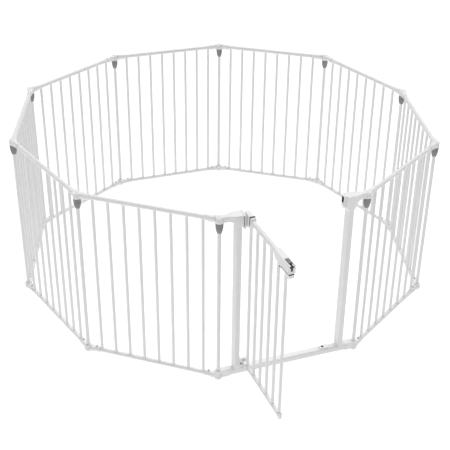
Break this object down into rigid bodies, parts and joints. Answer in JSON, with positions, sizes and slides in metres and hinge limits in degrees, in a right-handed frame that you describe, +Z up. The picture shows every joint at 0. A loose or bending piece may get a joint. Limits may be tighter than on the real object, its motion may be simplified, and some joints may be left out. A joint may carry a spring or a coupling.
{
  "type": "playpen",
  "caption": "Free-standing playpen of barred steel panels hinged on corner posts, with tapered locking collars and a latching door that swings over a low threshold.",
  "frame": {"origin": "centre of the footprint, on the floor", "axes": "+Z up; +Y from the gate section towards the back of the ring; +X from the hinge side of the door to its latch side"},
  "size_m": [1.8626, 2.1452, 0.75],
  "materials": {
    "white_steel": "smooth satin powder coat",
    "white_plastic": "satin moulded",
    "grey_plastic": "satin moulded",
    "dark_plastic": "matt",
    "screw_steel": "zinc plated"
  },
  "bodies": {
    "gate": {"gate_corner_posts": "white_steel", "gate_uprights": "white_steel", "threshold_bar": "white_steel", "left_shroud": "white_plastic", "right_shroud": "white_plastic", "strike_boss": "white_plastic", "gate_feet": "white_plastic", "hinge_bracket": "white_plastic", "lower_hinge_block": "white_plastic", "hinge_block_screw": "screw_steel", "hinge_pins": "screw_steel", "floor_catch": "white_plastic"},
    "panel_1": {"panel_1_frame": "white_steel", "panel_1_joints": "white_plastic", "panel_1_screws": "screw_steel"},
    "panel_2": {"panel_2_frame": "white_steel", "panel_2_joints": "white_plastic", "panel_2_screws": "screw_steel"},
    "panel_3": {"panel_3_frame": "white_steel", "panel_3_joints": "white_plastic", "panel_3_screws": "screw_steel"},
    "panel_4": {"panel_4_frame": "white_steel", "panel_4_joints": "white_plastic", "panel_4_screws": "screw_steel"},
    "panel_5": {"panel_5_frame": "white_steel", "panel_5_joints": "white_plastic", "panel_5_screws": "screw_steel"},
    "panel_6": {"panel_6_frame": "white_steel", "panel_6_joints": "white_plastic", "panel_6_screws": "screw_steel"},
    "panel_7": {"panel_7_frame": "white_steel", "panel_7_joints": "white_plastic", "panel_7_screws": "screw_steel"},
    "panel_8": {"panel_8_frame": "white_steel", "panel_8_joints": "white_plastic", "panel_8_screws": "screw_steel"},
    "panel_9": {"panel_9_frame": "white_steel", "panel_9_joints": "white_plastic", "panel_9_screws": "screw_steel"},
    "collar_1_body": {"collar_1": "grey_plastic"},
    "collar_2_body": {"collar_2": "grey_plastic"},
    "collar_3_body": {"collar_3": "grey_plastic"},
    "collar_4_body": {"collar_4": "grey_plastic"},
    "collar_5_body": {"collar_5": "grey_plastic"},
    "collar_6_body": {"collar_6": "grey_plastic"},
    "collar_7_body": {"collar_7": "grey_plastic"},
    "collar_8_body": {"collar_8": "grey_plastic"},
    "collar_9_body": {"collar_9": "grey_plastic"},
    "collar_10_body": {"collar_10": "grey_plastic"},
    "hinge_carriage": {"hinge_sleeves": "dark_plastic"},
    "door": {"door_rails": "white_steel", "door_bars": "white_steel", "door_boots": "white_plastic", "handle_housing": "white_plastic", "lever_pin": "screw_steel"},
    "thumb": {"thumb_slider": "grey_plastic"},
    "bolt": {"latch_bolt": "dark_plastic"},
    "lever": {"squeeze_lever": "white_plastic"}
  },
  "joints": [
    {"name": "corner_1", "type": "hinge", "parent": "gate", "child": "panel_1", "pos_m": [-0.31093, -0.69239, 0], "axis": [0, 0, 1], "range_deg": [0, 38]},
    {"name": "corner_2", "type": "hinge", "parent": "panel_1", "child": "panel_2", "pos_m": [-0.7601, -0.34146, 0], "axis": [0, 0, 1], "range_deg": [0, 36.2]},
    {"name": "corner_3", "type": "hinge", "parent": "panel_2", "child": "panel_3", "pos_m": [-0.9153, 0.20701, 0], "axis": [0, 0, 1], "range_deg": [0, 33.1]},
    {"name": "corner_4", "type": "hinge", "parent": "panel_3", "child": "panel_4", "pos_m": [-0.74579, 0.75122, 0], "axis": [0, 0, 1], "range_deg": [0, 40.3]},
    {"name": "corner_5", "type": "hinge", "parent": "panel_4", "child": "panel_5", "pos_m": [-0.26453, 1.05664, 0], "axis": [0, 0, 1], "range_deg": [0, 33.25]},
    {"name": "corner_10", "type": "hinge", "parent": "gate", "child": "panel_9", "pos_m": [0.28907, -0.69239, 0], "axis": [0, 0, 1], "range_deg": [-32.7, 0]},
    {"name": "corner_9", "type": "hinge", "parent": "panel_9", "child": "panel_8", "pos_m": [0.76873, -0.38445, 0], "axis": [0, 0, 1], "range_deg": [-42.4, 0]},
    {"name": "corner_8", "type": "hinge", "parent": "panel_8", "child": "panel_7", "pos_m": [0.9153, 0.16639, 0], "axis": [0, 0, 1], "range_deg": [-29.7, 0]},
    {"name": "corner_7", "type": "hinge", "parent": "panel_7", "child": "panel_6", "pos_m": [0.76969, 0.71748, 0], "axis": [0, 0, 1], "range_deg": [-39.74, 0]},
    {"name": "collar_1_slide", "type": "slide", "parent": "gate", "child": "collar_1_body", "axis": [0, 0, 1], "range_m": [-0.012, 0], "stiffness_N_per_m": 400, "springref_m": 0.002},
    {"name": "collar_2_slide", "type": "slide", "parent": "panel_1", "child": "collar_2_body", "axis": [0, 0, 1], "range_m": [-0.012, 0], "stiffness_N_per_m": 400, "springref_m": 0.002},
    {"name": "collar_3_slide", "type": "slide", "parent": "panel_2", "child": "collar_3_body", "axis": [0, 0, 1], "range_m": [-0.012, 0], "stiffness_N_per_m": 400, "springref_m": 0.002},
    {"name": "collar_4_slide", "type": "slide", "parent": "panel_3", "child": "collar_4_body", "axis": [0, 0, 1], "range_m": [-0.012, 0], "stiffness_N_per_m": 400, "springref_m": 0.002},
    {"name": "collar_5_slide", "type": "slide", "parent": "panel_4", "child": "collar_5_body", "axis": [0, 0, 1], "range_m": [-0.012, 0], "stiffness_N_per_m": 400, "springref_m": 0.002},
    {"name": "collar_6_slide", "type": "slide", "parent": "panel_5", "child": "collar_6_body", "axis": [0, 0, 1], "range_m": [-0.012, 0], "stiffness_N_per_m": 400, "springref_m": 0.002},
    {"name": "collar_7_slide", "type": "slide", "parent": "panel_7", "child": "collar_7_body", "axis": [0, 0, 1], "range_m": [-0.012, 0], "stiffness_N_per_m": 400, "springref_m": 0.002},
    {"name": "collar_8_slide", "type": "slide", "parent": "panel_8", "child": "collar_8_body", "axis": [0, 0, 1], "range_m": [-0.012, 0], "stiffness_N_per_m": 400, "springref_m": 0.002},
    {"name": "collar_9_slide", "type": "slide", "parent": "panel_9", "child": "collar_9_body", "axis": [0, 0, 1], "range_m": [-0.012, 0], "stiffness_N_per_m": 400, "springref_m": 0.002},
    {"name": "collar_10_slide", "type": "slide", "parent": "gate", "child": "collar_10_body", "axis": [0, 0, 1], "range_m": [-0.012, 0], "stiffness_N_per_m": 400, "springref_m": 0.002},
    {"name": "door_lift", "type": "slide", "parent": "gate", "child": "hinge_carriage", "axis": [0, 0, 1], "range_m": [0, 0.005]},
    {"name": "door_swing", "type": "hinge", "parent": "hinge_carriage", "child": "door", "pos_m": [-0.20093, -0.69239, 0], "axis": [0, 0, 1], "range_deg": [0, 88]},
    {"name": "thumb_slide", "type": "slide", "parent": "door", "child": "thumb", "axis": [0.0349, -0.9994, 0], "range_m": [0, 0.012]},
    {"name": "bolt_slide", "type": "slide", "parent": "door", "child": "bolt", "axis": [0.0349, -0.9994, 0], "range_m": [0, 0.012]},
    {"name": "lever_squeeze", "type": "hinge", "parent": "door", "child": "lever", "pos_m": [-0.19002, -1.00469, 0.7033], "axis": [-0.9994, -0.0349, 0], "range_deg": [0, 3.2], "stiffness_Nm_per_rad": 0.5, "springref_deg": -2.86}
  ],
  "couplings": [
    {"joint": "bolt_slide", "follows": "thumb_slide", "ratio": 1}
  ]
}
